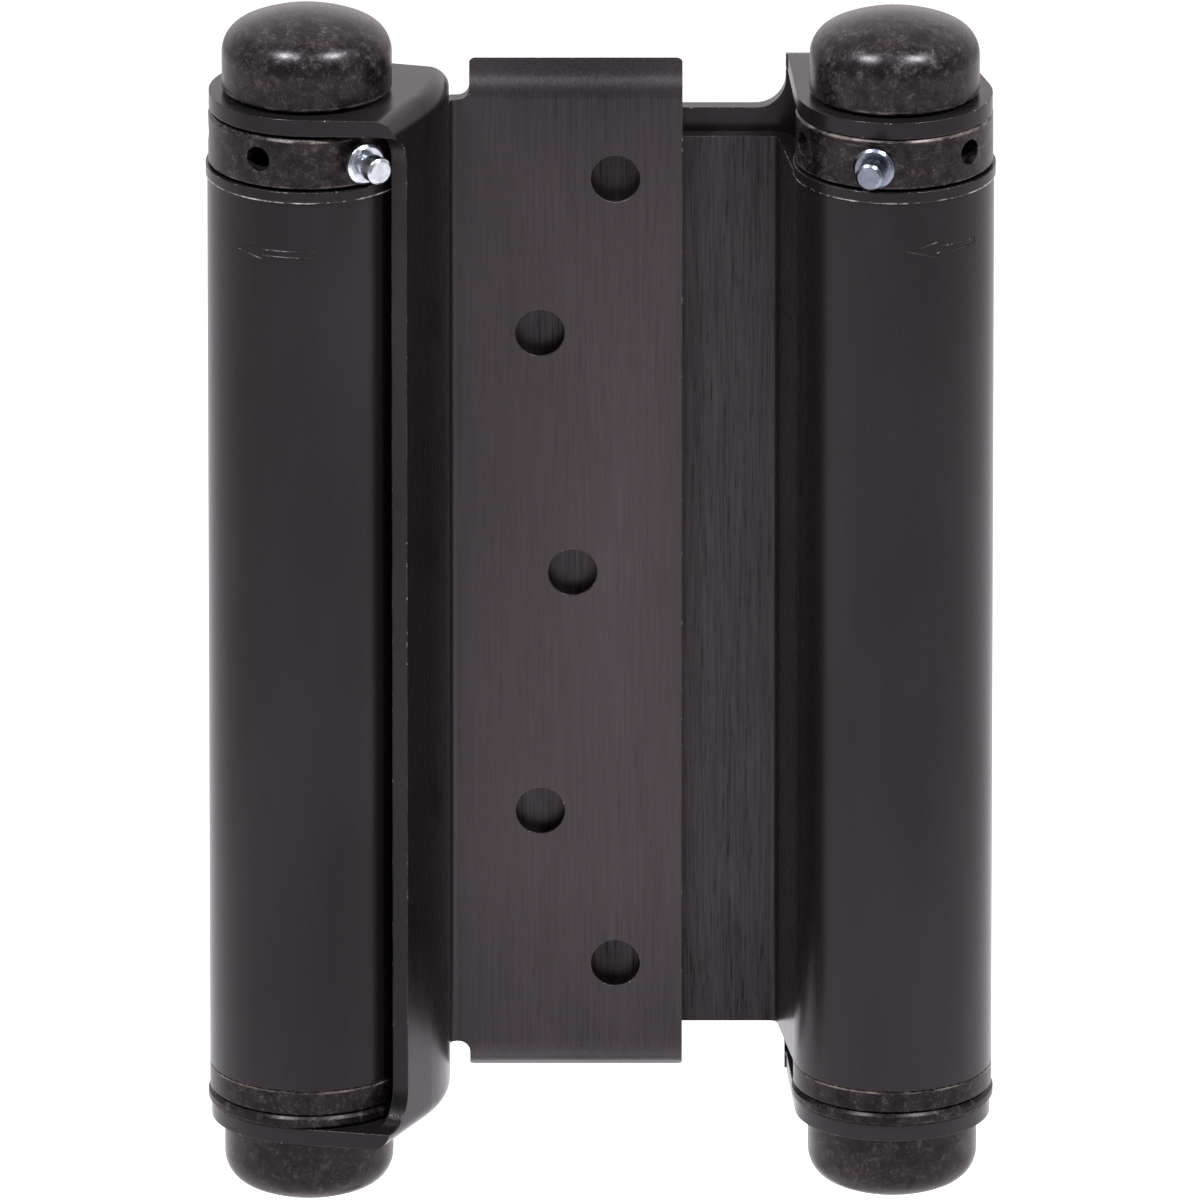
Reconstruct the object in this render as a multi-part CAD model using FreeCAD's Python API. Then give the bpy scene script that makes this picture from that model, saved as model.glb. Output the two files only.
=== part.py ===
import FreeCAD, Part
import math
import os

from FreeCAD import Vector

# Double action spring hinge for a light swing door.
# Frame: +Z up along the barrels, +Y into the jamb, +X from barrel A (door) to barrel B (jamb).
# The origin is on the rear face of the jamb leaf, midway between the barrels and at mid height.
# Millimetres and degrees.

# Leaves and sheet
leaf_height = 101.6
sheet = 1.6
stack_gap = 0.15
axis_spacing = 55.9
leaf_overhang = 7.8
inner_bend = 0.7

# Barrels
barrel_radius = 9.5
barrel_to_web = 0.75
web_corner_step = 0.9
web_bend = 1.5
seam_angle = 32.0

# Ears at both ends of each barrel, which stand proud of the leaves
jamb_ear_rise = 0.7
door_ear_rise = 1.0
ear_step = 0.15
axial_play = 0.1

# Door leaf
wall_gap = 2.4
wall_straight_end = 4.6
wall_curve_radius = 17.5
wall_slant = 26.0
wall_front_inset = 1.9
wall_front_round = 3.3
door_fold = 1.9
ear_back_corner = 6.1
ear_corner_round = 2.4
top_ear_turn = 3.0
bottom_ear_turn = 12.0
neck_drop = 3.0
neck_length = 1.9
neck_round = 1.1
lip_angle = 60.0
lip_bend = 2.0
lip_length = 1.6
lip_corner = 0.6

# Jamb leaf
jamb_top_drop = 5.0
jamb_bottom_drop = 5.2
jamb_ear_left = 10.3
jamb_ear_right = 6.0
jamb_fold = 2.4
jamb_top_round = 2.9
jamb_bottom_round = 3.8
leaf_corner = 0.6

# Screw holes, measured from each leaf's free edge and from mid height
screw_radius = 2.35
sink_radius = 3.4
sink_land = 0.35
outer_hole_inset = 6.4
outer_hole_drop = 11.0
inner_hole_inset = 13.6
inner_hole_height = 24.25
middle_hole_inset = 10.5

# Spindles and domes
spindle_radius = 2.0
running_clearance = 0.05
seat_clearance = 0.03
dome_radius = 8.1
dome_height = 7.95
dome_lift = 0.3
dome_boss_radius = 4.0
dome_shoulder = 3.0
dome_crown = 15.0
dome_bore_depth = 6.0
dome_rim_round = 0.25

# Collars, sleeves, anchor rings and washers
sleeve_lip_step = 0.15
sleeve_lip_height = 1.1
sleeve_wall = 0.52
sleeve_depth = 4.0
collar_step = 0.1
collar_height = 5.1
collar_hub_depth = 5.0
collar_chamfer = 0.25
pin_hole_radius = 1.25
pin_hole_count = 6
pin_hole_depth = 4.6
anchor_height = 2.2
anchor_hub_height = 5.0
ring_chamfer = 0.15
washer_step = 0.15
washer_chamfer = 0.3
washer_height = 1.25

# Tension pins
pin_shank_radius = 1.2
pin_rise = 0.3
pin_stand_off = 1.1
pin_flange_radius = 2.0
pin_flange_height = 1.0
pin_neck_radius = 0.95
pin_neck_length = 0.6
pin_tip_radius = 1.3
pin_tip_length = 1.9
pin_chamfer = 0.25
pin_angle_a = 30.5
pin_angle_b = -10.5

# Torsion springs
spring_rim = 0.4
spring_wire = 2.0
spring_pitch = 4.6
tang_depth = 2.5
tang_clearance = 0.1

# Places that follow from the sizes
web_middle = -sheet - stack_gap - sheet / 2
door_middle = web_middle - sheet - stack_gap
door_back = door_middle + sheet / 2
axis_setback = barrel_radius + barrel_to_web + sheet / 2 - web_middle
axis_a = Vector(-axis_spacing / 2, -axis_setback, 0)
axis_b = Vector(axis_spacing / 2, -axis_setback, 0)
door_ear = leaf_height / 2 + door_ear_rise
jamb_ear = leaf_height / 2 + jamb_ear_rise
door_ear_inner = door_ear - sheet
jamb_ear_inner = jamb_ear - sheet
neck_half_height = leaf_height / 2 - neck_drop
jamb_top = leaf_height / 2 - jamb_top_drop
jamb_bottom = leaf_height / 2 - jamb_bottom_drop
outer_hole_height = leaf_height / 2 - outer_hole_drop
ear_radius = barrel_radius - ear_step
wall_offset = barrel_radius + wall_gap + sheet
web_corner_offset = barrel_radius + web_corner_step
roll_radius = barrel_radius - sheet / 2
barrel_bore = barrel_radius - sheet
collar_radius = barrel_radius - collar_step
sleeve_lip_radius = barrel_radius + sleeve_lip_step
washer_radius = barrel_radius + washer_step
collar_hub_radius = barrel_bore - seat_clearance - sleeve_wall - running_clearance
spring_radius = collar_hub_radius - spring_rim - spring_wire / 2
collar_top = min(door_ear_inner, jamb_ear_inner) - axial_play
collar_bottom = collar_top - collar_height
barrel_top = collar_bottom - axial_play - sleeve_lip_height
barrel_bottom = collar_top - washer_height - anchor_height
pin_height = (collar_top + collar_bottom) / 2 + pin_rise
collar_hub_bottom = collar_bottom - collar_hub_depth
anchor_hub_top = -barrel_bottom + anchor_hub_height
shaft_bore = spindle_radius + running_clearance
full_turn = 360.0
beyond = 5.0
same_place = 0.01


def plan(a, b):
    """Read a drawn point as X and Y."""
    return Vector(a, b, 0)


def side(a, b):
    """Read a drawn point as Z and Y."""
    return Vector(0, b, a)


def polar(radius, degrees):
    """Give the drawn offset at a radius and an angle."""
    angle = math.radians(degrees)
    return (radius * math.cos(angle), radius * math.sin(angle))


def arc_edge(plane, centre, radius, start, end):
    """Draw an arc about a centre from one angle to another."""
    points = []
    for degrees in (start, (start + end) / 2, end):
        offset = polar(radius, degrees)
        points.append(plane(centre[0] + offset[0], centre[1] + offset[1]))
    return Part.Arc(*points).toShape()


def sheet_section(plane, start, heading, steps, thickness):
    """Give the face of a bent sheet, edge on, from its middle line.

    A step is a straight length, or a pair with a bend radius and an angle, left turns positive.
    """
    half = thickness / 2
    left = []
    right = []
    ends = []
    point = start
    for step in steps:
        across = polar(half, heading + 90)
        ends.append(plane(point[0] + across[0], point[1] + across[1]))
        ends.append(plane(point[0] - across[0], point[1] - across[1]))
        if isinstance(step, tuple):
            radius, angle = step
            turn = 1 if angle > 0 else -1
            to_centre = polar(radius, heading + 90 * turn)
            centre = (point[0] + to_centre[0], point[1] + to_centre[1])
            first = heading - 90 * turn
            left.append(arc_edge(plane, centre, radius - half * turn, first, first + angle))
            right.append(arc_edge(plane, centre, radius + half * turn, first, first + angle))
            heading = heading + angle
            out = polar(radius, first + angle)
            point = (centre[0] + out[0], centre[1] + out[1])
        else:
            ahead = polar(step, heading)
            following = (point[0] + ahead[0], point[1] + ahead[1])
            for edges, sign in ((left, 1), (right, -1)):
                first_end = plane(point[0] + sign * across[0], point[1] + sign * across[1])
                last_end = plane(following[0] + sign * across[0], following[1] + sign * across[1])
                edges.append(Part.LineSegment(first_end, last_end).toShape())
            point = following
    across = polar(half, heading + 90)
    left_end = plane(point[0] + across[0], point[1] + across[1])
    right_end = plane(point[0] - across[0], point[1] - across[1])
    caps = [Part.LineSegment(ends[1], ends[0]).toShape(), Part.LineSegment(left_end, right_end).toShape()]
    edges = Part.sortEdges(left + right + caps)[0]
    return Part.Face(Part.Wire(edges))


def turned(points, centre):
    """Revolve a drawn profile of radius and height points about an upright axis."""
    outline = [Vector(radius, 0, height) for radius, height in points]
    face = Part.Face(Part.makePolygon(outline + outline[:1]))
    body = face.revolve(Vector(0, 0, 0), Vector(0, 0, 1), full_turn)
    body.translate(Vector(centre.x, centre.y, 0))
    return body


def upright(radius, low, high, centre):
    """Make an upright cylinder between two heights."""
    return Part.makeCylinder(radius, high - low, Vector(centre.x, centre.y, low))


def block(low, high):
    """Make a box between two corners."""
    return Part.makeBox(high.x - low.x, high.y - low.y, high.z - low.z, low)


def prism(points, low, high):
    """Raise a plan outline from one height to another."""
    outline = [Vector(point[0], point[1], low) for point in points]
    face = Part.Face(Part.makePolygon(outline + outline[:1]))
    return face.extrude(Vector(0, 0, high - low))


def same(first, second):
    """Tell whether two lengths are the same within the tolerance of place."""
    return abs(first - second) < same_place


def near(edge, test):
    """Tell whether an edge passes a test at its middle."""
    middle = edge.valueAt((edge.FirstParameter + edge.LastParameter) / 2)
    return test(middle)


def rounded(shape, radius, test):
    """Round the edges whose middles pass a test."""
    return shape.makeFillet(radius, [edge for edge in shape.Edges if near(edge, test)])


def tangent_angle(point, radius):
    """Give the angle of the tangent point on a circle about 0, seen from a point, on its left."""
    distance = math.hypot(point[0], point[1])
    towards = math.degrees(math.atan2(point[1], point[0]))
    return towards + math.degrees(math.acos(radius / distance))


def screw_hole(x, z, front, back, sunk_from):
    """Make the cutter of one countersunk screw hole through a leaf."""
    through = Part.makeCylinder(screw_radius, back - front, Vector(x, front, z), Vector(0, 1, 0))
    sink_depth = back - front - sink_land
    if sunk_from == "back":
        cone = Part.makeCone(screw_radius, sink_radius, sink_depth, Vector(x, front + sink_land, z),
                             Vector(0, 1, 0))
    else:
        cone = Part.makeCone(sink_radius, screw_radius, sink_depth, Vector(x, front, z), Vector(0, 1, 0))
    return through.fuse(cone)


def screw_holes(free_edge, inwards, front, back, sunk_from):
    """Make the cutters of the five screw holes of a leaf."""
    places = [
        (outer_hole_inset, outer_hole_height),
        (outer_hole_inset, -outer_hole_height),
        (inner_hole_inset, inner_hole_height),
        (inner_hole_inset, -inner_hole_height),
        (middle_hole_inset, 0),
    ]
    cutters = []
    for inset, height in places:
        cutters.append(screw_hole(free_edge + inwards * inset, height, front, back, sunk_from))
    return cutters[0].fuse(cutters[1:])


def centre_web():
    """Roll both ends of one sheet into the barrels."""
    corner = (-web_corner_offset, axis_setback + web_middle)
    touch = tangent_angle(corner, roll_radius)
    touch_point = polar(roll_radius, touch)
    slant = math.degrees(math.atan2(touch_point[1] - corner[1], touch_point[0] - corner[0])) % full_turn
    turn = slant - full_turn
    bend_length = web_bend * math.tan(math.radians(-turn / 2))
    flat = axis_spacing / 2 - web_corner_offset - bend_length
    reach = math.hypot(touch_point[0] - corner[0], touch_point[1] - corner[1]) - bend_length
    roll = full_turn - touch + 180 - seam_angle
    steps = [flat, (web_bend, turn), reach, (roll_radius, roll)]
    section = sheet_section(plan, (0, web_middle), 0, steps, sheet)
    section.translate(Vector(0, 0, -barrel_bottom))
    right_half = section.extrude(Vector(0, 0, barrel_bottom + barrel_top))
    left_half = right_half.mirror(Vector(0, 0, 0), Vector(1, 0, 0))
    return right_half.fuse(left_half).removeSplitter()


def wall_curve(face_offset, radius):
    """Give the straight, arc and slanted points of a wall face, in plan about axis A."""
    start = (face_offset, wall_straight_end)
    middle = polar(radius, -wall_slant / 2)
    end = polar(radius, -wall_slant)
    centre = (face_offset - radius, wall_straight_end)
    run = 2 * ear_radius
    ahead = polar(run, -90 - wall_slant)
    bend_middle = (centre[0] + middle[0], centre[1] + middle[1])
    bend_end = (centre[0] + end[0], centre[1] + end[1])
    return start, bend_middle, bend_end, (bend_end[0] + ahead[0], bend_end[1] + ahead[1])


def wall_side(face_offset, radius, far_left, back, low, high):
    """Fill the space on the barrel side of a wall face."""
    start, middle, end, tip = wall_curve(face_offset, radius)
    edges = [
        Part.LineSegment(plan(face_offset, back), plan(*start)).toShape(),
        Part.Arc(plan(*start), plan(*middle), plan(*end)).toShape(),
        Part.LineSegment(plan(*end), plan(*tip)).toShape(),
        Part.LineSegment(plan(*tip), plan(far_left, tip[1])).toShape(),
        Part.LineSegment(plan(far_left, tip[1]), plan(far_left, back)).toShape(),
        Part.LineSegment(plan(far_left, back), plan(face_offset, back)).toShape(),
    ]
    face = Part.Face(Part.Wire(edges))
    face.translate(Vector(0, 0, low))
    return face.extrude(Vector(0, 0, high - low))


def ear_outline(turn, low, high):
    """Raise the plan of one door ear about axis A: its front edge is a tangent turned towards the wall."""
    front_touch = polar(ear_radius, -90 - turn)
    slope = math.radians(turn)
    right = 2 * ear_radius
    front_right = (right, -ear_radius / math.cos(slope) - right * math.tan(slope))
    corner = (wall_offset, ear_back_corner)
    back_touch = polar(ear_radius, tangent_angle(corner, ear_radius))
    points = [front_touch, front_right, (right, ear_back_corner), corner, back_touch, (0, 0)]
    outline = prism(points, low, high)
    return rounded(outline, ear_corner_round,
                   lambda p: same(p.x, wall_offset) and same(p.y, ear_back_corner))


def door_ears():
    """Fold the ears of the door leaf round barrel A, with the wall between them, about axis A."""
    far = 3 * barrel_radius
    blank = wall_side(wall_offset, wall_curve_radius, -far, far, -door_ear, door_ear)
    blank = rounded(blank, door_fold, lambda p: same(abs(p.z), door_ear) and is_on_wall(p))
    hollow = wall_side(wall_offset - sheet, wall_curve_radius - sheet, -2 * far, 2 * far,
                       -door_ear_inner, door_ear_inner)
    hollow = rounded(hollow, door_fold - sheet, lambda p: same(abs(p.z), door_ear_inner) and is_on_wall(p))
    channel = blank.cut(hollow)
    disc = upright(ear_radius, -door_ear, door_ear, Vector(0, 0, 0))
    upper = ear_outline(top_ear_turn, 0, door_ear)
    lower = ear_outline(bottom_ear_turn, -door_ear, 0)
    return channel.common(disc.fuse([upper, lower]))


def is_on_wall(point):
    """Tell whether a point about axis A lies along the wall and not on the far sides of a blank."""
    return 0 < point.x < wall_offset + same_place and point.y > -2 * ear_radius


def wall_window():
    """Cut back the wall's front edge between the ears, square to the slanted sheet."""
    end = wall_curve(wall_offset, wall_curve_radius)[2]
    slant = math.radians(wall_slant)
    full_run = (ear_radius + end[1]) / math.cos(slant)
    window_start = full_run - wall_front_inset
    half = door_ear_inner
    tool = block(Vector(-2 * sheet, -2 * barrel_radius, -half), Vector(2 * sheet, -window_start, half))
    tool = rounded(tool, wall_front_round, lambda p: same(abs(p.z), half) and same(p.y, -window_start))
    tool.rotate(Vector(0, 0, 0), Vector(0, 0, 1), -wall_slant)
    tool.translate(Vector(end[0], end[1], 0))
    return tool


def door_plate():
    """Make the flat of the door leaf with its lips bent back, and the neck that joins it to the wall."""
    half_lip = math.radians(lip_angle)
    lip_rise = lip_bend * math.sin(half_lip) + (lip_length + sheet / 2) * math.cos(half_lip)
    flat_half = leaf_height / 2 - lip_rise
    arc_back = lip_bend * (1 - math.cos(half_lip))
    tip_y = door_middle + arc_back + lip_length * math.sin(half_lip)
    tip_z = flat_half + lip_bend * math.sin(half_lip) + lip_length * math.cos(half_lip)
    steps = [lip_length, (lip_bend, lip_angle), 2 * flat_half, (lip_bend, lip_angle), lip_length]
    section = sheet_section(side, (-tip_z, tip_y), -lip_angle, steps, sheet)
    left = axis_a.x + wall_offset + neck_length
    section.translate(Vector(left, 0, 0))
    plate = section.extrude(Vector(leaf_overhang - left, 0, 0))
    plate = rounded(plate, lip_corner, lambda p: is_lip_corner(p, tip_z, left))
    bend_radius = inner_bend + sheet / 2
    wall_middle = axis_a.x + wall_offset - sheet / 2
    neck_run = leaf_overhang - wall_middle - bend_radius
    wall_run = axis_setback + door_middle - bend_radius - wall_straight_end
    steps = [neck_run, (bend_radius, 90), wall_run]
    neck = sheet_section(plan, (leaf_overhang, door_middle), 180, steps, sheet)
    neck.translate(Vector(0, 0, -neck_half_height))
    neck = neck.extrude(Vector(0, 0, 2 * neck_half_height))
    front = door_middle - sheet / 2
    for sign in (1, -1):
        gusset = block(Vector(left - neck_round, front, 0), Vector(left, door_back, neck_round))
        round_cut = Part.makeCylinder(neck_round, sheet, Vector(left - neck_round, front, neck_round),
                                      Vector(0, 1, 0))
        gusset = gusset.cut(round_cut)
        if sign < 0:
            gusset = gusset.mirror(Vector(0, 0, 0), Vector(0, 0, 1))
        gusset.translate(Vector(0, 0, sign * neck_half_height))
        neck = neck.fuse(gusset)
    return plate.fuse(neck)


def is_lip_corner(point, tip_z, left):
    """Tell whether a point is the middle of a short edge at the end of a lip."""
    on_side = same(point.x, left) or same(point.x, leaf_overhang)
    return on_side and same(abs(point.z), tip_z)


def door_leaf():
    """Make the door leaf: plate, lips, neck, wall and ears of one folded sheet."""
    ears = door_ears()
    ears = ears.cut(wall_window())
    ears = ears.cut(upright(shaft_bore, -2 * door_ear, 2 * door_ear, Vector(0, 0, 0)))
    ears.translate(axis_a)
    leaf = ears.fuse(door_plate())
    holes = screw_holes(leaf_overhang, -1, door_middle - sheet / 2, door_back, "back")
    return leaf.cut(holes).removeSplitter()


def jamb_ears():
    """Fold the ears of the jamb leaf forward over and under barrel B, about axis B."""
    fold_middle = jamb_fold - sheet / 2
    ear_run = axis_setback + ear_radius - jamb_fold
    upright_run = 2 * (jamb_ear - jamb_fold)
    steps = [ear_run, (fold_middle, -90), upright_run, (fold_middle, -90), ear_run]
    start = (-jamb_ear + sheet / 2, -ear_radius)
    section = sheet_section(side, start, 90, steps, sheet)
    reach = jamb_ear_left + max(jamb_top_round, jamb_bottom_round)
    section.translate(Vector(-reach, 0, 0))
    channel = section.extrude(Vector(2 * reach, 0, 0))
    left = (-jamb_ear_left, axis_setback)
    right = (jamb_ear_right, axis_setback)
    left_touch = polar(ear_radius, tangent_angle(left, ear_radius))
    mirrored_touch = polar(ear_radius, tangent_angle((-right[0], right[1]), ear_radius))
    right_touch = (-mirrored_touch[0], mirrored_touch[1])
    outline = prism([left, left_touch, (0, 0), right_touch, right], -jamb_ear, jamb_ear)
    disc = upright(ear_radius, -jamb_ear, jamb_ear, Vector(0, 0, 0))
    slab = block(Vector(-reach, axis_setback - jamb_fold, -jamb_ear), Vector(right[0], right[1], jamb_ear))
    return channel.common(outline.fuse(disc).fuse(slab))


def jamb_notch(edge_height, round_radius, sign):
    """Make the cutter above or below the jamb leaf's flat, with a round up to the ear's edge."""
    ear_edge = axis_b.x - jamb_ear_left
    far = 2 * jamb_ear
    tool = block(Vector(-far, -axis_setback * 2, edge_height), Vector(ear_edge, beyond, far))
    tool = rounded(tool, round_radius, lambda p: same(p.x, ear_edge) and same(p.z, edge_height))
    if sign < 0:
        tool = tool.mirror(Vector(0, 0, 0), Vector(0, 0, 1))
    return tool


def jamb_leaf():
    """Make the jamb leaf: a flat with five screw holes and the two ears of barrel B."""
    ears = jamb_ears()
    ears = ears.cut(upright(shaft_bore, -2 * jamb_ear, 2 * jamb_ear, Vector(0, 0, 0)))
    ears.translate(axis_b)
    ear_edge = axis_b.x - jamb_ear_left
    flat = block(Vector(-leaf_overhang, -sheet, -jamb_bottom), Vector(ear_edge, 0, jamb_top))
    flat = rounded(flat, leaf_corner, lambda p: same(p.x, -leaf_overhang) and same(p.y, -sheet / 2))
    leaf = ears.cut(jamb_notch(jamb_top, jamb_top_round, 1))
    leaf = leaf.cut(jamb_notch(jamb_bottom, jamb_bottom_round, -1))
    leaf = leaf.fuse(flat)
    holes = screw_holes(-leaf_overhang, 1, -sheet, 0, "front")
    return leaf.cut(holes).removeSplitter()


def spindle(centre, ear):
    """Make the pin that runs from dome to dome, past an ear's height at each end."""
    end = ear + dome_bore_depth - axial_play
    return upright(spindle_radius, -end, end, centre)


def dome(centre, ear, sign):
    """Turn a domed cap with a blind bore, seated on its ear by a boss."""
    crown_centre = dome_height - dome_crown
    offset = dome_radius - dome_shoulder
    shoulder_height = crown_centre + math.sqrt((dome_crown - dome_shoulder) ** 2 - offset ** 2)
    join = math.degrees(math.atan2(shoulder_height - crown_centre, offset))
    crown_end = polar(dome_crown, join)

    def at(radius, height):
        return Vector(radius, 0, height)

    def shoulder_point(degrees):
        out = polar(dome_shoulder, degrees)
        return at(offset + out[0], shoulder_height + out[1])

    crown_middle = polar(dome_crown, (90 + join) / 2)
    edges = [
        Part.LineSegment(at(0, 0), at(dome_boss_radius, 0)).toShape(),
        Part.LineSegment(at(dome_boss_radius, 0), at(dome_boss_radius, dome_lift)).toShape(),
        Part.LineSegment(at(dome_boss_radius, dome_lift), at(dome_radius, dome_lift)).toShape(),
        Part.LineSegment(at(dome_radius, dome_lift), at(dome_radius, shoulder_height)).toShape(),
        Part.Arc(at(dome_radius, shoulder_height), shoulder_point(join / 2), shoulder_point(join)).toShape(),
        Part.Arc(at(crown_end[0], crown_centre + crown_end[1]),
                 at(crown_middle[0], crown_centre + crown_middle[1]), at(0, dome_height)).toShape(),
        Part.LineSegment(at(0, dome_height), at(0, 0)).toShape(),
    ]
    cap = Part.Face(Part.Wire(edges)).revolve(Vector(0, 0, 0), Vector(0, 0, 1), full_turn)
    cap = rounded(cap, dome_rim_round,
                  lambda p: same(p.z, dome_lift) and same(math.hypot(p.x, p.y), dome_radius))
    bore = Part.makeCylinder(spindle_radius + seat_clearance, dome_bore_depth)
    cap = cap.cut(bore)
    if sign < 0:
        cap = cap.mirror(Vector(0, 0, 0), Vector(0, 0, 1))
    cap.translate(Vector(centre.x, centre.y, sign * ear))
    return cap


def bearing_sleeve(centre):
    """Turn the lipped sleeve that lines the mouth of a barrel and carries the collar."""
    bore = collar_hub_radius + running_clearance
    outside = barrel_bore - seat_clearance
    top = barrel_top + sleeve_lip_height
    profile = [
        (bore, barrel_top - sleeve_depth),
        (outside, barrel_top - sleeve_depth),
        (outside, barrel_top),
        (sleeve_lip_radius, barrel_top),
        (sleeve_lip_radius, top),
        (bore, top),
    ]
    return turned(profile, centre)


def radial_tool(radius, inner, outer, degrees, centre):
    """Make a cylinder that points out of an axis, at an angle from straight ahead towards +X."""
    angle = math.radians(degrees)
    direction = Vector(math.sin(angle), -math.cos(angle), 0)
    start = Vector(centre.x, centre.y, pin_height) + direction * inner
    return Part.makeCylinder(radius, outer - inner, start, direction)


def tension_collar(centre, pin_angle):
    """Turn a collar with its hub, its six pin holes and the slot for the spring's end."""
    profile = [
        (shaft_bore, collar_hub_bottom),
        (collar_hub_radius, collar_hub_bottom),
        (collar_hub_radius, collar_bottom),
        (collar_radius - collar_chamfer, collar_bottom),
        (collar_radius, collar_bottom + collar_chamfer),
        (collar_radius, collar_top - collar_chamfer),
        (collar_radius - collar_chamfer, collar_top),
        (shaft_bore, collar_top),
    ]
    collar = turned(profile, centre)
    for index in range(pin_hole_count):
        degrees = pin_angle + index * full_turn / pin_hole_count
        inner = collar_radius - pin_hole_depth
        collar = collar.cut(radial_tool(pin_hole_radius, inner, collar_radius + beyond, degrees, centre))
    return collar.cut(tang_socket(centre, spring_top_angle(), collar_hub_bottom))


def anchor_ring(centre, inner_face):
    """Turn the ring between a barrel's foot and the washer, which holds the lower end of the spring."""
    low = -inner_face + washer_height + axial_play
    profile = [
        (shaft_bore, low),
        (barrel_radius - ring_chamfer, low),
        (barrel_radius, low + ring_chamfer),
        (barrel_radius, -barrel_bottom),
        (barrel_bore - seat_clearance, -barrel_bottom),
        (barrel_bore - seat_clearance, anchor_hub_top),
        (shaft_bore, anchor_hub_top),
    ]
    ring = turned(profile, centre)
    return ring.cut(tang_socket(centre, 0, anchor_hub_top))


def thrust_washer(centre, inner_face):
    """Turn the washer between an anchor ring and the lower ear."""
    low = -inner_face
    profile = [
        (shaft_bore, low),
        (washer_radius - washer_chamfer, low),
        (washer_radius, low + washer_chamfer),
        (washer_radius, low + washer_height - washer_chamfer),
        (washer_radius - washer_chamfer, low + washer_height),
        (shaft_bore, low + washer_height),
    ]
    return turned(profile, centre)


def tension_pin(centre, degrees):
    """Turn a stepped pin and lay it in its hole in the collar."""
    inner = collar_radius - pin_hole_depth + axial_play
    flange = collar_radius + pin_stand_off
    neck = flange + pin_flange_height
    tip = neck + pin_neck_length
    end = tip + pin_tip_length
    profile = [
        (0, inner),
        (pin_shank_radius, inner),
        (pin_shank_radius, flange),
        (pin_flange_radius - pin_chamfer, flange),
        (pin_flange_radius, flange + pin_chamfer),
        (pin_flange_radius, neck - pin_chamfer),
        (pin_flange_radius - pin_chamfer, neck),
        (pin_neck_radius, neck),
        (pin_neck_radius, tip),
        (pin_tip_radius - pin_chamfer, tip),
        (pin_tip_radius, tip + pin_chamfer),
        (pin_tip_radius, end - pin_chamfer),
        (pin_tip_radius - pin_chamfer, end),
        (0, end),
    ]
    pin = turned(profile, Vector(0, 0, 0))
    pin.rotate(Vector(0, 0, 0), Vector(1, 0, 0), 90)
    pin.rotate(Vector(0, 0, 0), Vector(0, 0, 1), degrees)
    pin.translate(Vector(centre.x, centre.y, pin_height))
    return pin


def spring_height():
    """Give the height of the coil between its two seats."""
    return collar_hub_bottom - anchor_hub_top - 2 * axial_play - spring_wire


def spring_top_angle():
    """Give the angle at which the coil ends."""
    return (spring_height() / spring_pitch * full_turn) % full_turn


def tang(centre, degrees, low, high, grow):
    """Make the upright end of the spring's wire, or its socket when grown by a clearance."""
    half = spring_wire / 2 + grow
    bar = block(Vector(spring_radius - half, -half, low), Vector(spring_radius + half, half, high))
    bar.rotate(Vector(0, 0, 0), Vector(0, 0, 1), degrees)
    bar.translate(Vector(centre.x, centre.y, 0))
    return bar


def tang_socket(centre, degrees, face):
    """Make the socket for a spring end on both sides of a seat."""
    depth = tang_depth + tang_clearance
    return tang(centre, degrees, face - depth, face + depth, tang_clearance)


def torsion_spring(centre):
    """Sweep a square wire along a helix and turn each end into its seat."""
    low = anchor_hub_top + axial_play + spring_wire / 2
    helix = Part.makeHelix(spring_pitch, spring_height(), spring_radius)
    half = spring_wire / 2
    corners = [Vector(spring_radius - half, 0, -half), Vector(spring_radius + half, 0, -half),
               Vector(spring_radius + half, 0, half), Vector(spring_radius - half, 0, half)]
    section = Part.makePolygon(corners + corners[:1])
    coil = Part.Wire(helix.Edges).makePipeShell([section], True, True)
    coil.translate(Vector(centre.x, centre.y, low))
    lower_end = tang(centre, 0, anchor_hub_top - tang_depth, low + half, 0)
    coil_end = low + spring_height() - half
    upper_end = tang(centre, spring_top_angle(), coil_end, collar_hub_bottom + tang_depth, 0)
    return coil.fuse([lower_end, upper_end]).removeSplitter()


def save(name, shape):
    """Write one node and print what it holds."""
    shape.exportStep("parts/" + name + ".step")
    print(name, len(shape.Solids), shape.isValid(), round(shape.Volume, 1))


os.makedirs("parts", exist_ok=True)
save("jamb_leaf", jamb_leaf())
save("door_leaf", door_leaf())
save("centre_web", centre_web())
barrels = [("a", axis_a, pin_angle_a, door_ear), ("b", axis_b, pin_angle_b, jamb_ear)]
for letter, axis, pin_angle, ear in barrels:
    save("spindle_" + letter, spindle(axis, ear))
    save("top_dome_" + letter, dome(axis, ear, 1))
    save("bottom_dome_" + letter, dome(axis, ear, -1))
    save("bearing_sleeve_" + letter, bearing_sleeve(axis))
    save("tension_collar_" + letter, tension_collar(axis, pin_angle))
    save("tension_pin_" + letter, tension_pin(axis, pin_angle))
    save("anchor_ring_" + letter, anchor_ring(axis, ear - sheet))
    save("thrust_washer_" + letter, thrust_washer(axis, ear - sheet))
    save("torsion_spring_" + letter, torsion_spring(axis))
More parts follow.
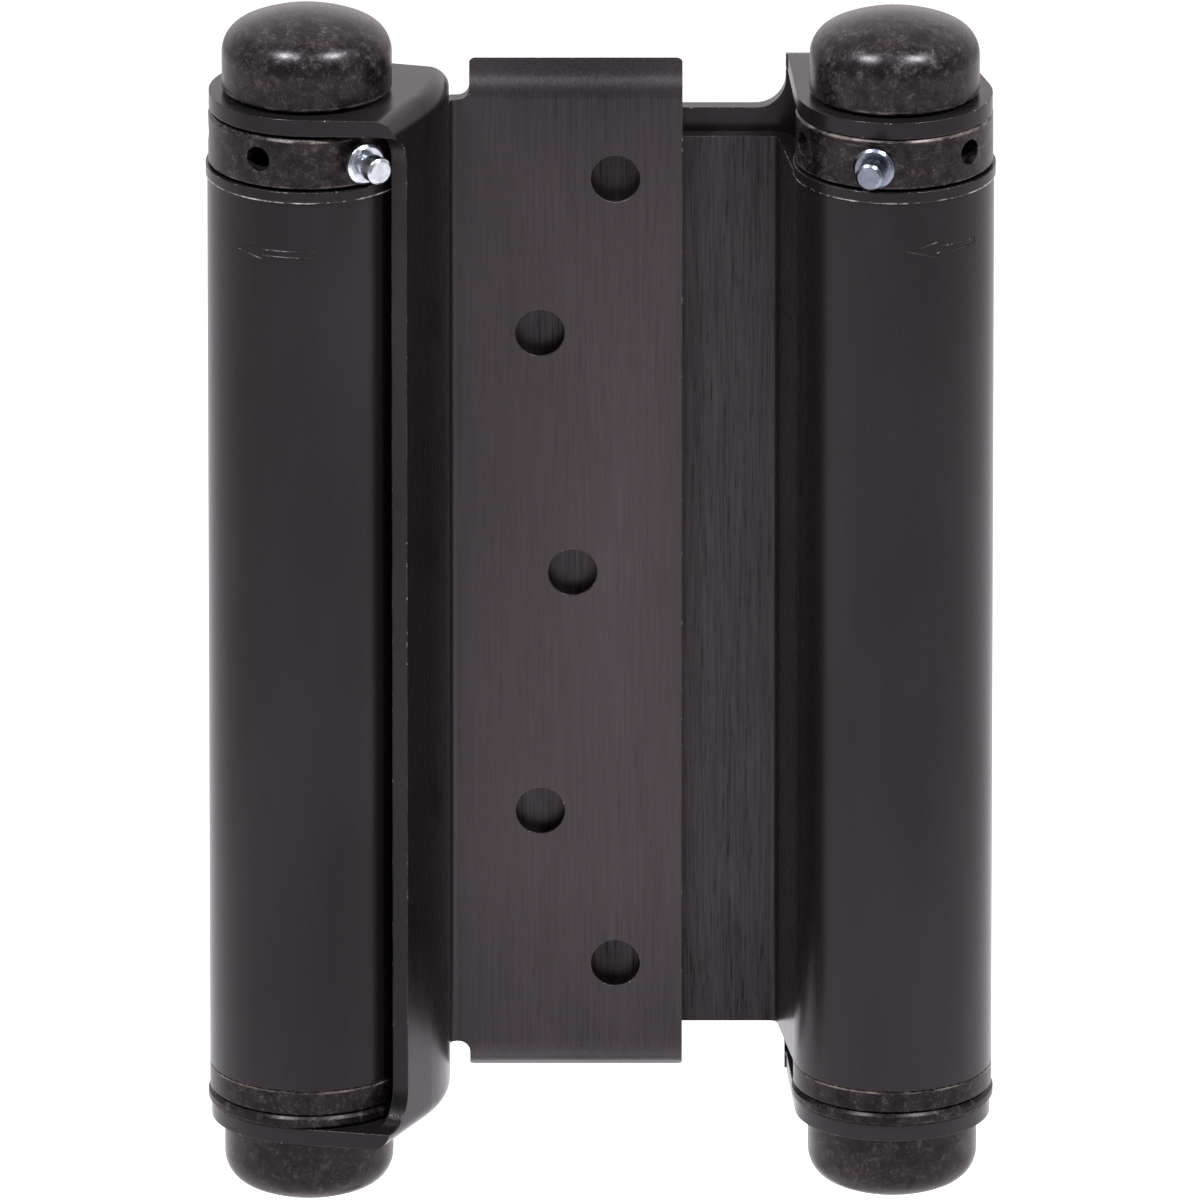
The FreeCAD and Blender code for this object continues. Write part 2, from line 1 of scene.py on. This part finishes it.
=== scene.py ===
import bpy
import math
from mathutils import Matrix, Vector


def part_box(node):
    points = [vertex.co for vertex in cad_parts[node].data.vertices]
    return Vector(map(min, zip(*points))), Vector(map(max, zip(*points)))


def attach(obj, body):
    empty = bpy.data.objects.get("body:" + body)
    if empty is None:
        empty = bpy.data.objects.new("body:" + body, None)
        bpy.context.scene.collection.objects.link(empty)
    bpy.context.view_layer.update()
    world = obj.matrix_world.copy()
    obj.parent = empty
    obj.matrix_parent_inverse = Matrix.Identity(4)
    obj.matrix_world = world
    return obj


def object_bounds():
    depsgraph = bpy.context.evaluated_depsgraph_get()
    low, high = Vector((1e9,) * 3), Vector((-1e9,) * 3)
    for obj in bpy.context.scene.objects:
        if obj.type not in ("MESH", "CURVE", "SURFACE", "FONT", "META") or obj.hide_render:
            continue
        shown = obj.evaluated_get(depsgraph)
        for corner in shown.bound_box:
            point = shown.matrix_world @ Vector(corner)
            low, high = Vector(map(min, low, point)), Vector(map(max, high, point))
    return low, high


# Double action spring hinge: finish, stamped arrows, light, floor and camera. Metres.

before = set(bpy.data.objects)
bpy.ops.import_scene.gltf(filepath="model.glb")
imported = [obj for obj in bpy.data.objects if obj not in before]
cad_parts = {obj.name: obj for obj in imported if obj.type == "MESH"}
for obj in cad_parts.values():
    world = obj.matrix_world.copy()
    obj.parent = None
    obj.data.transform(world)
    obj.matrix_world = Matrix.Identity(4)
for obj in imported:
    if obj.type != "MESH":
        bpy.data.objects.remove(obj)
cad_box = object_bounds()

MM = 0.001
LETTERS = ("a", "b")

# Colours, linear
PAINT_DARK = (0.0034, 0.0027, 0.0030)
PAINT_LIGHT = (0.0125, 0.0102, 0.0110)
# Paint chips, also used for the bright lip line that is partly painted highlight
PAINT_CHIP_AND_GLINT = (0.42, 0.39, 0.37)
BRONZE_DARK = (0.0020, 0.0014, 0.0016)
BRONZE_MID = (0.0090, 0.0068, 0.0072)
BRONZE_SCUFF = (0.16, 0.135, 0.13)
# Colour of wear on the bronze, also used for rim lines that are partly painted highlight
BRONZE_WEAR_AND_GLINT = (0.22, 0.175, 0.155)
# Black painted shade for the gaps between turned pieces
GAP_SHADE_COLOR = (0.0, 0.0, 0.0)
GLOSS_TINT = (1.0, 0.87, 0.92)
ZINC = (0.60, 0.635, 0.68)
DULL_ZINC = (0.21, 0.232, 0.28)
STEEL = (0.36, 0.36, 0.37)

# Noises: scale along X, Y and Z, detail, roughness and, where it isn't 0, distortion
STREAKS = (5200, 5200, 130), 4.0, 0.62
PAINT_BROAD = (70, 70, 24), 3.0, 0.5
PAINT_GRAIN = (5000, 5000, 5000), 2.0, 0.5
CLOUD = (620, 620, 620), 8.0, 0.72, 0.4
SCUFFS = (1300, 1300, 1100), 7.0, 0.75, 1.2
BRONZE_GRAIN = (4200, 4200, 4200), 2.0, 0.55
METAL_HAZE = (900, 900, 900), 5.0, 0.65
METAL_PITS = (3800, 3800, 3800), 4.0, 0.6

# Marks: the noise, the values at which a mark starts and is full, and its strength when full
STROKES = ((6400, 6400, 340), 3.0, 0.6), 0.56, 0.68, 1.0
CHIPS = ((1500, 1500, 1500), 5.0, 0.7), 0.60, 0.66, 1.0
EDGE_RUB = ((260, 260, 260), 4.0, 0.6), 0.45, 0.62, 0.10
LIP_PATCHES = ((420, 420, 420), 7.0, 0.75), 0.44, 0.60, 1.0
SCRATCHES = ((240, 240, 4200), 4.0, 0.6), 0.60, 0.70, 1.0
SCRATCH_PATCHES = ((300, 300, 500), 3.0, 0.5), 0.46, 0.58, 0.85
RIM_BREAKS = ((260, 260, 900), 7.0, 0.75), 0.47, 0.64, 1.0

# Ramps: two values of a noise or mask, and what they give where that isn't 0 and 1
BRONZE_MOTTLE = 0.34, 0.66
SCUFF_STRENGTH = 0.50, 0.66
SCUFF_PATCHES = 0.44, 0.62
SPECK_STRENGTH = 0.62, 0.70
SPECK_PATCHES = 0.40, 0.6, 0.2, 0.9
RIM_RUB = 0.48, 0.62, 0.0, 0.35
SCUFF_METALLIC = 0.0, 1.0, 0.0, 0.35
MOTTLE_SHEEN = 0.32, 0.68, 0.78, 1.18
BRONZE_ROUGH = 0.75, 1.25, 0.22, 0.38
METAL_HAZE_RANGE = 0.35, 0.65

# Edges: radius of the softened edge, and the cosines of its turn at which wear starts and is full
PAINT_EDGE = 0.16 * MM
BRONZE_EDGE = 0.15 * MM
METAL_EDGE = 0.12 * MM
EDGE_SAMPLES = 6
EDGE_STARTS = 0.99
EDGE_FULL = 0.85

# Paint: where the sheets are brushed (X limits), and tone, roughness and gloss of smooth and brushed paint
WEB_BRUSHED = (-16.6 * MM, 16.6 * MM)
LEAF_BRUSHED = (-14.2 * MM, 20.0 * MM)
NOT_BRUSHED = (1.0, 1.0)
BRUSH_SOFT = 0.4 * MM
WEB_BRUSH = 0.22
LEAF_BRUSH = 0.11
STREAK_SPREAD = 0.18
STROKE_DEPTH = 1.3
BROAD_TONE, GRAIN_TONE = 0.12, 0.05
SMOOTH_TONE, BRUSHED_TONE = 0.18, 0.52
SMOOTH_ROUGH, BRUSHED_ROUGH, STREAK_ROUGH = 0.27, 0.41, 0.03
SMOOTH_GLOSS, WEB_GLOSS, LEAF_GLOSS = 0.2, 0.34, 0.47
BROAD_GLOSS, BRUSH_GLOSS = 0.04, 0.45
STREAK_RELIEF, GRAIN_RELIEF = 0.7, 0.3
PAINT_BUMP, PAINT_BUMP_HEIGHT = 0.16, 0.02 * MM
# Brushed paint is duller near the ends of a sheet: height at which that starts and is full, loss of gloss
END_FADES = ((30.0 * MM, 52.0 * MM, 0.16), (49.2 * MM, 50.0 * MM, 0.18))
# Bright line under the sleeves' lip, partly wear and partly painted highlight: its depth below the top and
# its half width
LIP_BELOW_TOP = 1.1 * MM
LIP_HALF = 0.16 * MM

# Bronze: gloss of each part, share of the scuffs in the colour, and the piece with tool marks
BRONZE_GLOSS = {
    "top_dome": 0.22,
    "bottom_dome": 0.16,
    "tension_collar": 0.18,
    "anchor_ring": 0.12,
    "thrust_washer": 0.1,
}
SCUFF_SHARE = 0.40
SCRATCHED_NODE = "tension_collar_b"
CLOUD_RELIEF, SCUFF_RELIEF, BRONZE_GRAIN_RELIEF = 0.4, 0.35, 0.25
BRONZE_BUMP, BRONZE_BUMP_HEIGHT = 0.55, 0.05 * MM
# Level lines in millimetres: what the height starts from, height, half width and, for the bright rim lines,
# their strength. The bright rim lines are partly wear and partly painted highlight; the dark lines are
# painted shade in the gaps between pieces
BARREL_FOOT = -46.35
RIM_WEAR_AND_GLINT = {
    "top_dome": [("foot", 0.45, 0.3, 0.5)],
    "tension_collar": [("top", -0.2, 0.2, 0.65), ("top", -4.8, 0.1, 0.45)],
    "anchor_ring": [("barrel", -0.2, 0.13, 0.7)],
}
# Painted shade: level lines in the gaps between pieces that are painted black and lose their gloss
GAP_SHADE_LINES = {
    "tension_collar": [("top", -5.1, 0.22)],
    "anchor_ring": [("barrel", 0.0, 0.11)],
}
LINE_CORE = 0.4

# Bare metal: lowest and highest roughness, and strength of the pits
BRIGHT_ZINC_FINISH = 0.14, 0.26, 0.3
DULL_ZINC_FINISH = 0.16, 0.3, 0.6
STEEL_FINISH = 0.3, 0.42, 0.1
HAZE_SHADE = 0.6
METAL_BUMP_HEIGHT = 0.03 * MM

# Stamped arrows on the barrels, in millimetres and degrees
ARROW_HEIGHT = {"a": 38.3, "b": 38.6}
ARROW_LENGTH = {"a": 8.3, "b": 7.6}
ARROW_TURN = {"a": -19.5, "b": 30.0}
ARROW_HEAD = 3.0
ARROW_HEAD_HALF = 0.72
ARROW_SHAFT_HALF = 0.3
RIDGE_WIDTH = 0.17
RIDGE_RISE = 0.07
RIDGE_SINK = 0.02
RIDGE_STEPS = 14

# Lights: places in degrees and metres, powers in watts, and strengths of the sky
KEY_COLOR = (0.90, 0.955, 1.0)
KEY_AZIMUTHS = {"key_left": -46, "key_right": 46}
KEY_ELEVATION = 57
KEY_DISTANCE = 0.6
KEY_WIDTH = 0.05
KEY_LENGTH = 0.12
KEY_POWER = 5.4
SKY_COLOR = (1.0, 0.945, 0.965, 1.0)
SKY_RAMP = {"From Min": -0.1, "From Max": 0.95, "To Min": 0.4, "To Max": 1.5}

# Floor
FLOOR_DROP = 0.06
FLOOR_HALF = 4.0
FLOOR_COLOR = (0.80, 0.76, 0.772)
FLOOR_ROUGH = 0.9
FLOOR_GLOW_COLOR = (1.0, 1.0, 1.0)
FLOOR_GLOW = 0.16

# Camera: a long lens, in millimetres, that looks down by so many degrees at a point near the barrels' axes
CAMERA_ELEVATION = 19.6
CAMERA_LENS = 1256.0
CAMERA_REACH = 100.0
SENSOR = 36.0
PHOTO_SIZE = 1200.0
MM_PER_PIXEL = 0.0955
AIM_X = -0.07
AIM_Z = 0.2


def box_of(node):
    """Give a node's box at rest as two vectors."""
    low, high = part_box(node)
    return Vector(low), Vector(high)


def add_object(name, data):
    """Put a mesh, light or camera into the scene."""
    thing = bpy.data.objects.new(name, data)
    bpy.context.scene.collection.objects.link(thing)
    return thing


class Shader:
    """A small builder for one material's nodes."""

    def __init__(self, name):
        self.material = bpy.data.materials.new(name)
        self.material.use_nodes = True
        self.tree = self.material.node_tree
        self.tree.nodes.clear()
        self.surface = self.node("BsdfPrincipled", {})
        self.node("OutputMaterial", {"Surface": self.surface.outputs[0]})
        self.place = self.node("TexCoord", {}).outputs["Object"]

    def feed(self, socket, value):
        """Link an output to a socket, or set the socket to a number, vector or colour."""
        if isinstance(value, bpy.types.NodeSocket):
            self.tree.links.new(value, socket)
        elif socket.type == "RGBA":
            socket.default_value = value + (1.0,)
        else:
            socket.default_value = value

    def node(self, kind, values):
        """Add a node and feed its inputs by name."""
        node = self.tree.nodes.new("ShaderNode" + kind)
        for name, value in values.items():
            self.feed(node.inputs[name], value)
        return node

    def noise(self, scale, detail, rough, twist=0.0):
        """Give a noise with a scale of its own along each axis."""
        mapping = self.node("Mapping", {"Vector": self.place, "Scale": scale})
        texture = self.node("TexNoise", {"Vector": mapping.outputs[0], "Scale": 1.0, "Detail": detail,
                                         "Roughness": rough, "Distortion": twist})
        return texture.outputs[0]

    def ramp(self, value, low, high, out_low=0.0, out_high=1.0):
        """Map low to out_low and high to out_high, evenly between them and held beyond."""
        return self.node("MapRange", {"Value": value, "From Min": low, "From Max": high,
                                      "To Min": out_low, "To Max": out_high}).outputs[0]

    def swing(self, noise, amount, spread=0.2):
        """Turn a noise into plus or minus an amount, which it reaches a spread away from 0.5."""
        return self.ramp(noise, 0.5 - spread, 0.5 + spread, -amount, amount)

    def mark(self, noise, start, full, strength):
        """Give the mask of one of the marks above."""
        return self.ramp(self.noise(*noise), start, full, 0.0, strength)

    def math(self, kind, first, *others):
        """Combine two or more sockets or numbers, from the first on."""
        for other in others:
            node = self.node("Math", {})
            node.operation = kind
            self.feed(node.inputs[0], first)
            self.feed(node.inputs[1], other)
            first = node.outputs[0]
        return first

    def add(self, *values):
        """Give the sum."""
        return self.math("ADD", *values)

    def multiply(self, *values):
        """Give the product."""
        return self.math("MULTIPLY", *values)

    def largest(self, *values):
        """Give the largest value."""
        return self.math("MAXIMUM", *values)

    def absolute(self, value):
        """Give a value without its sign."""
        return self.math("ABSOLUTE", value, 0.0)

    def blend(self, factor, first, second):
        """Mix two colours."""
        node = self.node("Mix", {})
        node.data_type = "RGBA"
        self.feed(node.inputs["Factor"], factor)
        colors = [socket for socket in node.inputs if socket.type == "RGBA"]
        for socket, value in zip(colors, (first, second)):
            self.feed(socket, value)
        return [socket for socket in node.outputs if socket.type == "RGBA"][0]

    def axis(self, index):
        """Give the place along X, Y or Z."""
        return self.node("SeparateXYZ", {"Vector": self.place}).outputs[index]

    def line(self, height, level, half):
        """Give a mask that is 1 on a level line round a turned piece."""
        away = self.absolute(self.math("SUBTRACT", height, level))
        return self.ramp(away, half, half * LINE_CORE)

    def edges(self, radius):
        """Give a mask that is 1 on sharp outer edges, and the softened normal."""
        bevel = self.node("Bevel", {"Radius": radius})
        bevel.samples = EDGE_SAMPLES
        dot = self.node("VectorMath", {})
        dot.operation = "DOT_PRODUCT"
        self.feed(dot.inputs[0], bevel.outputs[0])
        self.feed(dot.inputs[1], self.node("NewGeometry", {}).outputs["Normal"])
        return self.ramp(dot.outputs["Value"], EDGE_STARTS, EDGE_FULL), bevel.outputs[0]

    def set(self, name, value):
        """Feed an input of the surface."""
        self.feed(self.surface.inputs[name], value)

    def bump(self, height, strength, distance, normal):
        """Give the surface a relief on top of the softened normal."""
        bump = self.node("Bump", {"Height": height, "Strength": strength, "Distance": distance,
                                  "Normal": normal})
        self.set("Normal", bump.outputs[0])


def painted(name, brushed=NOT_BRUSHED, strength=0.0, brushed_gloss=LEAF_GLOSS, lip=None):
    """Satin near-black paint: brushed between two X limits, smooth elsewhere, chipped on the edges, and
    with a broken bright line under a given lip that is partly wear and partly painted highlight.
    """
    shader = Shader(name)
    across = shader.axis(0)
    height = shader.axis(2)
    left, right = brushed
    flat = shader.multiply(shader.ramp(across, left - BRUSH_SOFT, left + BRUSH_SOFT),
                           shader.ramp(across, right + BRUSH_SOFT, right - BRUSH_SOFT))
    streaks = shader.noise(*STREAKS)
    broad = shader.noise(*PAINT_BROAD)
    grain = shader.noise(*PAINT_GRAIN)

    strokes = shader.multiply(shader.mark(*STROKES), STROKE_DEPTH * strength)
    brush = shader.math("SUBTRACT", shader.swing(streaks, strength, STREAK_SPREAD), strokes)
    brush = shader.multiply(brush, flat)
    tone = shader.add(shader.swing(broad, BROAD_TONE), shader.swing(grain, GRAIN_TONE), brush,
                      shader.ramp(flat, 0.0, 1.0, SMOOTH_TONE, BRUSHED_TONE))
    color = shader.blend(tone, PAINT_DARK, PAINT_LIGHT)

    edge, normal = shader.edges(PAINT_EDGE)
    wear_and_glint = shader.multiply(edge, shader.largest(shader.mark(*CHIPS), shader.mark(*EDGE_RUB)))
    # Lip line: a broken bright line at the lip's lower edge, partly worn paint and partly painted highlight
    # on that edge
    if lip is not None:
        lip_wear_and_glint = shader.multiply(shader.line(height, lip, LIP_HALF), shader.mark(*LIP_PATCHES))
        wear_and_glint = shader.largest(wear_and_glint, lip_wear_and_glint)
    shader.set("Base Color", shader.blend(wear_and_glint, color, PAINT_CHIP_AND_GLINT))

    rough = shader.ramp(flat, 0.0, 1.0, SMOOTH_ROUGH, BRUSHED_ROUGH)
    shader.set("Roughness", shader.add(shader.swing(streaks, STREAK_ROUGH), rough))

    gloss = shader.add(shader.ramp(flat, 0.0, 1.0, SMOOTH_GLOSS, brushed_gloss),
                       shader.swing(broad, BROAD_GLOSS), shader.multiply(brush, BRUSH_GLOSS))
    from_middle = shader.absolute(height)
    for start, full, loss in END_FADES:
        gloss = shader.add(gloss, shader.multiply(shader.ramp(from_middle, start, full, 0.0, -loss), flat))
    shader.set("Specular IOR Level", gloss)
    shader.set("Specular Tint", GLOSS_TINT)

    relief = shader.add(shader.multiply(streaks, flat, STREAK_RELIEF), shader.multiply(grain, GRAIN_RELIEF))
    shader.bump(relief, PAINT_BUMP, PAINT_BUMP_HEIGHT, normal)
    return shader.material


def bronze(name, gloss, wear_and_glint_lines, shade_lines):
    """Near-black oil-rubbed bronze: mottled, speckled and scuffed, with bright rim lines that are partly
    wear and partly painted highlight, and painted shade in the gaps.
    """
    shader = Shader(name)
    height = shader.axis(2)
    cloud = shader.noise(*CLOUD)
    scuffs = shader.noise(*SCUFFS)
    grain = shader.noise(*BRONZE_GRAIN)

    marks = shader.multiply(shader.ramp(scuffs, *SCUFF_STRENGTH), shader.ramp(cloud, *SCUFF_PATCHES))
    specks = shader.multiply(shader.ramp(grain, *SPECK_STRENGTH), shader.ramp(cloud, *SPECK_PATCHES))
    marks = shader.largest(marks, specks)
    if name == SCRATCHED_NODE:
        scratches = shader.multiply(shader.mark(*SCRATCHES), shader.mark(*SCRATCH_PATCHES))
        marks = shader.largest(marks, scratches)
    color = shader.blend(shader.ramp(cloud, *BRONZE_MOTTLE), BRONZE_DARK, BRONZE_MID)
    color = shader.blend(shader.multiply(marks, SCUFF_SHARE), color, BRONZE_SCUFF)
    sheen = shader.multiply(shader.ramp(cloud, *MOTTLE_SHEEN), gloss)

    breaks = shader.mark(*RIM_BREAKS)
    # Bright rim lines: partly copper wear, partly painted highlight where the rims catch the light
    for level, half, amount in wear_and_glint_lines:
        rim_wear_and_glint = shader.multiply(shader.line(height, level, half), breaks, amount)
        color = shader.blend(rim_wear_and_glint, color, BRONZE_WEAR_AND_GLINT)
    # Painted shade: the gaps under the collar and above the ring are painted black and lose their gloss
    for level, half in shade_lines:
        gap_shade = shader.line(height, level, half)
        color = shader.blend(gap_shade, color, GAP_SHADE_COLOR)
        sheen = shader.multiply(sheen, shader.ramp(gap_shade, 0.0, 1.0, 1.0, 0.0))
    edge, normal = shader.edges(BRONZE_EDGE)
    rub = shader.multiply(edge, shader.ramp(scuffs, *RIM_RUB))
    shader.set("Base Color", shader.blend(rub, color, BRONZE_WEAR_AND_GLINT))

    shader.set("Metallic", shader.ramp(marks, *SCUFF_METALLIC))
    shader.set("Specular IOR Level", sheen)
    shader.set("Specular Tint", GLOSS_TINT)
    shader.set("Roughness", shader.ramp(shader.add(scuffs, cloud), *BRONZE_ROUGH))
    relief = shader.add(shader.multiply(cloud, CLOUD_RELIEF), shader.multiply(scuffs, SCUFF_RELIEF),
                        shader.multiply(grain, BRONZE_GRAIN_RELIEF))
    shader.bump(relief, BRONZE_BUMP, BRONZE_BUMP_HEIGHT, normal)
    return shader.material


def bare_metal(name, color, smooth, rough, pitting):
    """Bright metal with a faint haze and fine pits."""
    shader = Shader(name)
    haze = shader.noise(*METAL_HAZE)
    dull = tuple(part * HAZE_SHADE for part in color)
    shader.set("Base Color", shader.blend(shader.ramp(haze, *METAL_HAZE_RANGE), dull, color))
    shader.set("Metallic", 1.0)
    shader.set("Roughness", shader.ramp(haze, *METAL_HAZE_RANGE, smooth, rough))
    shader.bump(shader.noise(*METAL_PITS), pitting, METAL_BUMP_HEIGHT, shader.edges(METAL_EDGE)[1])
    return shader.material


def cover(node, material):
    """Give every slot of a CAD node one material."""
    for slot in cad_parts[node].material_slots:
        slot.material = material


def bronze_of(part, node):
    """Make the bronze of one turned piece, with its bright rim lines (wear and painted highlight) and its
    painted gap shade at its own heights.
    """
    low, high = box_of(node)
    starts = {"foot": low.z, "top": high.z, "barrel": BARREL_FOOT * MM}
    wear_and_glint = [(starts[start] + up * MM, half * MM, amount)
            for start, up, half, amount in RIM_WEAR_AND_GLINT.get(part, [])]
    gap_shade = [(starts[start] + up * MM, half * MM) for start, up, half in GAP_SHADE_LINES.get(part, [])]
    return bronze(node, BRONZE_GLOSS[part], wear_and_glint, gap_shade)


def finish_nodes():
    """Cover every CAD node and give back the paint of the web."""
    web_paint = painted("black_web", WEB_BRUSHED, WEB_BRUSH, WEB_GLOSS)
    steel = bare_metal("oiled_steel", STEEL, *STEEL_FINISH)
    zinc = {
        "a": bare_metal("bright_zinc", ZINC, *BRIGHT_ZINC_FINISH),
        "b": bare_metal("dull_zinc", DULL_ZINC, *DULL_ZINC_FINISH),
    }
    cover("centre_web", web_paint)
    cover("door_leaf", painted("black_door_leaf", LEAF_BRUSHED, LEAF_BRUSH))
    # The jamb leaf gets the darker smooth paint, which also paints in the shade that this leaf lies in
    cover("jamb_leaf", painted("black_jamb_leaf"))
    for letter in LETTERS:
        sleeve = "bearing_sleeve_" + letter
        cover(sleeve, painted("black_sleeve_" + letter, lip=box_of(sleeve)[1].z - LIP_BELOW_TOP))
        cover("spindle_" + letter, steel)
        cover("torsion_spring_" + letter, steel)
        cover("tension_pin_" + letter, zinc[letter])
        for part in BRONZE_GLOSS:
            node = part + "_" + letter
            cover(node, bronze_of(part, node))
    return web_paint


def arrow_outline(length):
    """Give the corners of a plain arrow that points to -X, centred on 0, in millimetres."""
    tail = length / 2
    neck = ARROW_HEAD - tail
    return [
        (-tail, 0.0),
        (neck, ARROW_HEAD_HALF),
        (neck, ARROW_SHAFT_HALF),
        (tail, ARROW_SHAFT_HALF),
        (tail, -ARROW_SHAFT_HALF),
        (neck, -ARROW_SHAFT_HALF),
        (neck, -ARROW_HEAD_HALF),
    ]


def stamped_arrow(letter, material):
    """Raise the outline of an arrow on a barrel, wrapped round its face."""
    low, high = box_of("anchor_ring_" + letter)
    centre = (low + high) / 2
    radius = (high.x - low.x) / 2
    turn = math.radians(ARROW_TURN[letter])
    corners = arrow_outline(ARROW_LENGTH[letter])
    verts = []
    faces = []

    def on_barrel(along, up, rise):
        """Give the place on the barrel's face of a point of the flat arrow."""
        angle = turn + along * MM / radius
        reach = radius + rise * MM
        return (centre.x + reach * math.sin(angle), centre.y - reach * math.cos(angle),
                (ARROW_HEIGHT[letter] + up) * MM)

    for index, first in enumerate(corners):
        last = corners[(index + 1) % len(corners)]
        run = Vector((last[0] - first[0], last[1] - first[1]))
        side = Vector((-run.y, run.x)).normalized() * RIDGE_WIDTH / 2
        start = len(verts)
        for step in range(RIDGE_STEPS + 1):
            share = step / RIDGE_STEPS
            along = first[0] + run.x * share
            up = first[1] + run.y * share
            verts.append(on_barrel(along - side.x, up - side.y, -RIDGE_SINK))
            verts.append(on_barrel(along, up, RIDGE_RISE))
            verts.append(on_barrel(along + side.x, up + side.y, -RIDGE_SINK))
        for step in range(RIDGE_STEPS):
            here = start + 3 * step
            faces.append((here, here + 3, here + 4, here + 1))
            faces.append((here + 1, here + 4, here + 5, here + 2))
    mesh = bpy.data.meshes.new("stamped_arrow_" + letter)
    mesh.from_pydata(verts, [], faces)
    mesh.materials.append(material)
    arrow = add_object("stamped_arrow_" + letter, mesh)
    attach(arrow, "web")


def from_angles(azimuth, elevation, distance):
    """Give a place round the hinge: azimuth 0 is in front, positive to the right."""
    a = math.radians(azimuth)
    e = math.radians(elevation)
    return Vector((math.sin(a) * math.cos(e), -math.cos(a) * math.cos(e), math.sin(e))) * distance


def aim_at(thing, place, target):
    """Place a light or a camera so that it faces a point."""
    thing.location = place
    thing.rotation_euler = (target - place).to_track_quat("-Z", "Y").to_euler()


def make_sky():
    """Make a plain sky that is brighter behind the hinge than in front of it."""
    world = bpy.data.worlds.new("studio")
    world.use_nodes = True
    nodes = world.node_tree.nodes
    links = world.node_tree.links
    background = nodes["Background"]
    split = nodes.new("ShaderNodeSeparateXYZ")
    glow = nodes.new("ShaderNodeMapRange")
    for name, value in SKY_RAMP.items():
        glow.inputs[name].default_value = value
    links.new(nodes.new("ShaderNodeTexCoord").outputs["Generated"], split.inputs[0])
    links.new(split.outputs[1], glow.inputs["Value"])
    links.new(glow.outputs[0], background.inputs["Strength"])
    background.inputs["Color"].default_value = SKY_COLOR
    bpy.context.scene.world = world


def make_keys():
    """Hang two soft rectangular lights that face the hinge."""
    for name, azimuth in KEY_AZIMUTHS.items():
        data = bpy.data.lights.new(name, "AREA")
        data.shape = "RECTANGLE"
        data.size = KEY_WIDTH
        data.size_y = KEY_LENGTH
        data.energy = KEY_POWER
        data.color = KEY_COLOR
        aim_at(add_object(name, data), from_angles(azimuth, KEY_ELEVATION, KEY_DISTANCE), Vector((0, 0, 0)))


def make_floor():
    """Lay a plain pale floor below the hinge."""
    z = cad_box[0][2] - FLOOR_DROP
    corners = [(x * FLOOR_HALF, y * FLOOR_HALF, z) for x, y in ((-1, -1), (1, -1), (1, 1), (-1, 1))]
    mesh = bpy.data.meshes.new("floor")
    mesh.from_pydata(corners, [], [(0, 1, 2, 3)])
    shader = Shader("floor")
    shader.set("Base Color", FLOOR_COLOR)
    shader.set("Roughness", FLOOR_ROUGH)
    shader.set("Emission Color", FLOOR_GLOW_COLOR)
    shader.set("Emission Strength", FLOOR_GLOW)
    mesh.materials.append(shader.material)
    floor = add_object("floor", mesh)


def make_camera():
    """Look slightly down on the hinge from straight ahead, through a long lens."""
    data = bpy.data.cameras.new("camera")
    data.lens = CAMERA_LENS
    data.sensor_width = SENSOR
    data.clip_end = CAMERA_REACH
    camera = add_object("camera", data)
    low, high = box_of("anchor_ring_b")
    aim = Vector((AIM_X * MM, (low.y + high.y) / 2, AIM_Z * MM))
    width = PHOTO_SIZE * MM_PER_PIXEL * MM
    aim_at(camera, aim + from_angles(0, CAMERA_ELEVATION, CAMERA_LENS / SENSOR * width), aim)
    bpy.context.scene.camera = camera
    bpy.context.scene.view_settings.view_transform = "Standard"


barrel_paint = finish_nodes()
for letter in LETTERS:
    stamped_arrow(letter, barrel_paint)
make_sky()
make_keys()
make_floor()
make_camera()
